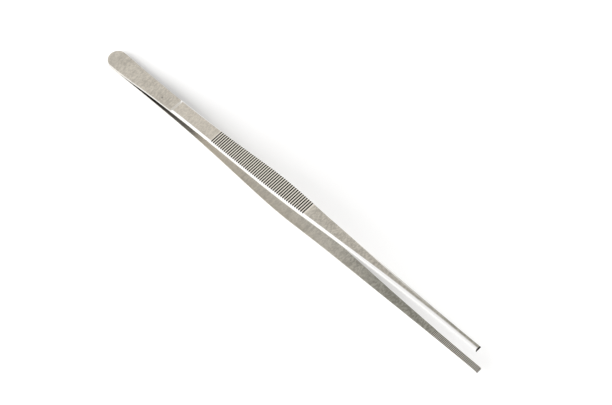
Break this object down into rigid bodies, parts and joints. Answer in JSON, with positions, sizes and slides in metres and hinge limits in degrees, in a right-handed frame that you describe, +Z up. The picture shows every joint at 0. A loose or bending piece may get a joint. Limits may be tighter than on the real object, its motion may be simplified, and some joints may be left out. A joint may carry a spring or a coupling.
{
  "type": "thumb forceps",
  "caption": "Long straight thumb forceps: two bowed steel spring arms welded at a rounded butt, with a cross-grooved grip and serrated jaws.",
  "frame": {"origin": "middle of the box round the forceps, on the surface that it lies on", "axes": "+X from the butt to the tips, +Y across the width, +Z up from the lower arm to the upper arm"},
  "size_m": [0.3004, 0.012, 0.0405],
  "materials": {
    "upper_steel": "fine satin grinding, warm grey",
    "lower_steel": "fine satin grinding, warm grey"
  },
  "bodies": {
    "root": {"upper_arm": "upper_steel", "lower_arm": "lower_steel"}
  },
  "joints": []
}
